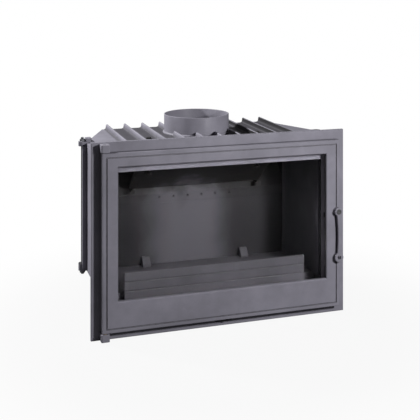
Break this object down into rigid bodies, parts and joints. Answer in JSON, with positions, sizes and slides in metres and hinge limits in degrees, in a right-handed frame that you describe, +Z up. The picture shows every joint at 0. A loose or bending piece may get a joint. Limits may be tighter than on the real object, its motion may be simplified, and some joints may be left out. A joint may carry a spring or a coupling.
{
  "type": "fireplace insert",
  "caption": "Cast-iron fireplace insert: flat front frame, side-hung glazed door with a latch lever, ribbed top with a round flue collar, tapering shell.",
  "frame": {"origin": "middle of the front frame's bottom edge, halfway through the frame's thickness", "axes": "+X to the right of someone facing the fire, +Y back into the chimney, +Z up"},
  "size_m": [0.712, 0.4107, 0.525],
  "materials": {
    "outer_cast_iron": "satin stove paint, zinc grey, over a fine sand-cast grain",
    "fire_cast_iron": "matt dark stove paint over cast grain",
    "black_steel": "matt heat-proof black on sheet steel",
    "zinc_steel": "dull zinc plated, aged grey",
    "brass": "plain",
    "ceramic_glass": "clear glass ceramic with a faint warm tint",
    "glass_fibre": "knitted glass-fibre rope and tape, graphite grey"
  },
  "bodies": {
    "insert": {"front_frame": "outer_cast_iron", "frame_bolts": "zinc_steel", "slider_guides": "black_steel", "hinge_bracket_upper": "outer_cast_iron", "hinge_bracket_lower": "outer_cast_iron", "hinge_pin_upper": "zinc_steel", "hinge_pin_lower": "zinc_steel", "hinge_washer": "brass", "hinge_bolts": "zinc_steel", "latch_keeper": "black_steel", "top_plate": "outer_cast_iron", "bottom_plate": "outer_cast_iron", "side_plate_right": "outer_cast_iron", "side_plate_left": "outer_cast_iron", "back_plate": "outer_cast_iron", "back_bolts": "zinc_steel", "tie_rods": "zinc_steel", "tie_nuts": "zinc_steel", "flue_collar": "outer_cast_iron", "collar_bolts": "zinc_steel", "base_casing": "black_steel", "ash_shelf": "black_steel", "hearth_plate": "fire_cast_iron", "ash_pan": "black_steel", "pan_pull": "black_steel", "side_liner_right": "fire_cast_iron", "side_liner_left": "fire_cast_iron", "fireback": "fire_cast_iron", "fireback_lugs": "fire_cast_iron", "air_panel": "black_steel", "throat_plate": "black_steel", "smoke_baffle": "black_steel", "baffle_hooks": "black_steel", "baffle_hangers": "black_steel"},
    "door": {"door_frame": "outer_cast_iron", "door_glass": "ceramic_glass", "glass_gasket": "glass_fibre", "glass_clips": "black_steel", "clip_screws": "zinc_steel", "door_rope": "glass_fibre"},
    "latch": {"latch_lever": "outer_cast_iron", "latch_shaft": "zinc_steel", "latch_screw": "zinc_steel", "latch_washer": "brass", "latch_tongue": "black_steel", "latch_nut": "zinc_steel"},
    "air_control": {"air_slider": "black_steel"},
    "guard": {"log_guard": "fire_cast_iron"},
    "fire_grate": {"grate": "fire_cast_iron"}
  },
  "joints": [
    {"name": "door_hinge", "type": "hinge", "parent": "insert", "child": "door", "pos_m": [-0.3185, -0.0215, 0.25], "axis": [0, 0, -1], "range_deg": [0, 105]},
    {"name": "latch_turn", "type": "hinge", "parent": "door", "child": "latch", "pos_m": [0.317, -0.032, 0.284], "axis": [0, -1, 0], "range_deg": [0, 90]},
    {"name": "air_slide", "type": "slide", "parent": "insert", "child": "air_control", "axis": [1, 0, 0], "range_m": [-0.015, 0.015]},
    {"name": "guard_lift", "type": "slide", "parent": "insert", "child": "guard", "axis": [0, 0, 1], "range_m": [0, 0.045]},
    {"name": "grate_lift", "type": "slide", "parent": "insert", "child": "fire_grate", "axis": [0, 0, 1], "range_m": [0, 0.03]}
  ]
}
